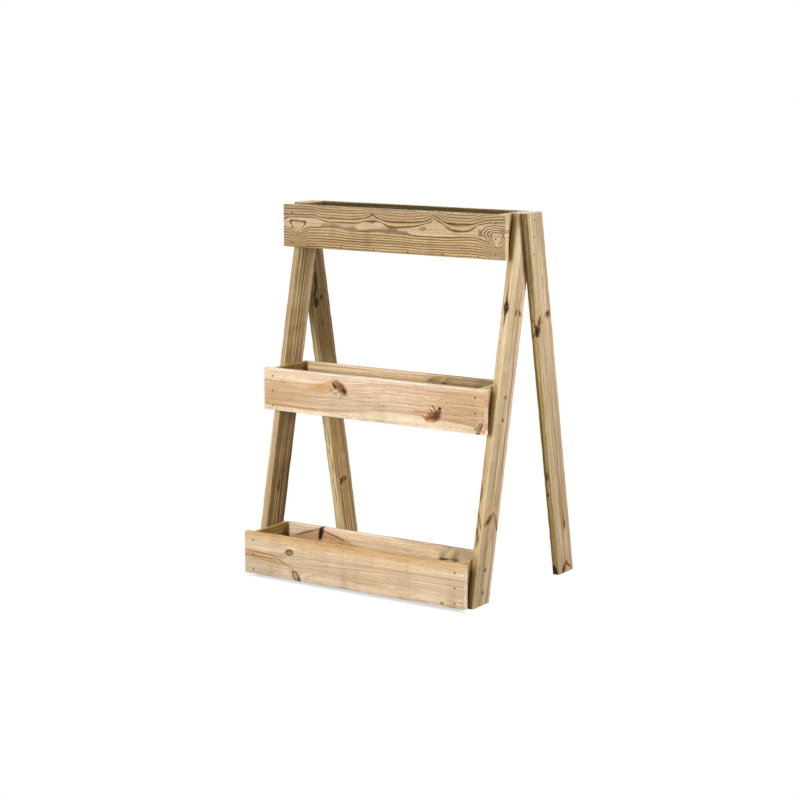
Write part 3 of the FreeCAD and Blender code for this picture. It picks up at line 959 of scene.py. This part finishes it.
place_leg("rear_left_leg", {**leg_look, "Seed": 52.6, "Streak": 2.0}, stains_and_painted_shade=[
    # Painted shade on the inner face, darkest high up under the upper box.
    painted_light_and_shade(LEG_FACE, (221, 212, 185)),
    edge(-372, 300, 330, 60, (232, 214, 168), 0.6, 0.6, 4),
    *[edge(x, z, long, 1.4, (70, 60, 30), 0.9, 0.5, 4) for x, z, long in (
        (-366, 325, 28), (-370, 284, 10), (-365, 236, 32), (-369, 188, 14), (-366, 146, 24))],
    *within(LEG_FACE, 5, [(90, 740, 240, 90, 0, (152, 146, 126), 0.95, 0.6, 0.6)], Glaze=1.0),
    *within(LEG_FACE, 8, [
        (67, 796, 34, 6, 8, (24, 16, 8), 1.0, 0.3),
        (70, 738, 15, 11, 10, (18, 12, 6), 1.0, 0.3),
        (62, 765, 34, 4, 20, (40, 30, 18), 1.0, 0.4),
        (94, 753, 8, 5.5, 10, (30, 20, 10), 1.0, 0.3),
        (100, 675, 9, 5, 0, (44, 32, 18), 1.0, 0.4),
        (106, 640, 70, 9, 0, (96, 70, 40), 0.6, 0.7),
        (205, 190, 9, 17, 14, (36, 22, 12), 1.0, 0.3, 0.9),
        (194, 182, 9, 5.5, 30, (32, 20, 10), 1.0, 0.3)]),
    (214, 150, 60, 10, 0, (160, 116, 70), 0.5, 0.8)])


# Rear leg nails
# The same nails in an upright row, through each rear leg and the front leg inside it into the upper box end.

LAP_NAIL_RISES = (8, 54, 100)

low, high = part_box("rear_right_leg")
nail_low, nail_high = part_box("rear_leg_nails")
end_low, end_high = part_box("upper_right_end")
places = []
for rise in LAP_NAIL_RISES:
    for side in (1, -1):
        places.append(((side * high.x, (nail_low.y + nail_high.y) / 2, end_low.z + rise * mm), side * RIGHT))
piece = grow("lap_nails", nails, {**nail_size, "Head": 2.7 * mm}, points("lap_nail_points", places))
fit(piece, "rear_leg_nails")


# Floor, light and camera
# A white sweep under five soft boxes: the strongest in front, a little to the right, and weaker ones
# close on the right and left, behind, and overhead.

WARM_WHITE = (1, 0.98, 0.95)


def white_to_camera(tree, white, other):
    """Show white to the camera and in reflections, and another shader to the light in the room."""
    seen = add(tree, "ShaderNodeLightPath").outputs
    rays = [Value(tree, seen[ray]) for ray in ("Is Camera Ray", "Is Glossy Ray", "Is Transmission Ray")]
    plain = calc("MAXIMUM", calc("MAXIMUM", rays[0], rays[1]), rays[2])
    return get(tree, "ShaderNodeMixShader", {0: plain, 1: other, 2: white})


floor_mesh = bpy.data.meshes.new("floor")
floor_mesh.from_pydata([(-30, -30, 0), (30, -30, 0), (30, 30, 0), (-30, 30, 0)], [], [(0, 1, 2, 3)])
floor = bpy.data.objects.new("floor", floor_mesh)
bpy.context.scene.collection.objects.link(floor)
paper = bpy.data.materials.new("paper")
tree = blank(paper)
# The camera sees the floor glow white, with a painted contact shadow darkened by ambient occlusion under the
# boards and legs.
contact = get(tree, "ShaderNodeAmbientOcclusion", {"Distance": 14 * mm}, "AO", samples=8)
shadow = blend(ramp(contact, 0.0, 0.8), (0.45, 0.45, 0.45, 1), (1, 1, 1, 1))
bright = get(tree, "ShaderNodeEmission", {"Color": shadow})
matt = get(tree, "ShaderNodeBsdfDiffuse", {"Color": (0.3, 0.29, 0.27, 1)})
add(tree, "ShaderNodeOutputMaterial", {"Surface": white_to_camera(tree, bright, matt)})
floor_mesh.materials.append(paper)

world = bpy.data.worlds.new("studio")
bpy.context.scene.world = world
tree = blank(world)
white = get(tree, "ShaderNodeBackground", {"Color": (1, 1, 1, 1), "Strength": 1.0})
room = get(tree, "ShaderNodeBackground", {"Color": (*WARM_WHITE, 1), "Strength": 0.1})
add(tree, "ShaderNodeOutputWorld", {"Surface": white_to_camera(tree, white, room)})


def soft_box(name, place, aim, width, height, watts):
    """A rectangular studio light that points at a place."""
    data = bpy.data.lights.new(name, "AREA")
    data.shape = "RECTANGLE"
    data.size = width
    data.size_y = height
    data.energy = watts
    data.color = WARM_WHITE
    lamp = bpy.data.objects.new(name, data)
    lamp.location = place
    lamp.rotation_euler = (Vector(aim) - Vector(place)).to_track_quat("-Z", "Y").to_euler()
    bpy.context.scene.collection.objects.link(lamp)


soft_box("key", (0.6, -3.2, 1.3), (0, 0, 0.5), 1.2, 1.2, 100)
soft_box("side", (2.2, 0.9, 1.25), (0.36, 0, 0.5), 0.8, 1.0, 45)
soft_box("rear", (-1.4, 2.8, 1.7), (0, 0, 0.5), 1.2, 1.2, 75)
soft_box("left", (-2.4, 0.3, 1.25), (-0.36, 0, 0.5), 0.8, 1.0, 40)
soft_box("top", (0, -0.3, 3.2), (0, -0.1, 0.5), 1.4, 1.4, 22)

SENSOR_WIDTH = 36.0
PICTURE_WIDTH = 800.0
FOCAL_LENGTH = 2021.0
LOOKS_DOWN = 9.939
TURNED_LEFT = 33.135

lens = bpy.data.cameras.new("camera")
lens.sensor_width = SENSOR_WIDTH
lens.lens = SENSOR_WIDTH * FOCAL_LENGTH / PICTURE_WIDTH
camera = bpy.data.objects.new("camera", lens)
camera.location = (3.0393, -4.6947, 1.4756)
camera.rotation_euler = (math.radians(90 - LOOKS_DOWN), 0, math.radians(TURNED_LEFT))
bpy.context.scene.collection.objects.link(camera)
bpy.context.scene.camera = camera
bpy.context.scene.view_settings.view_transform = "Standard"
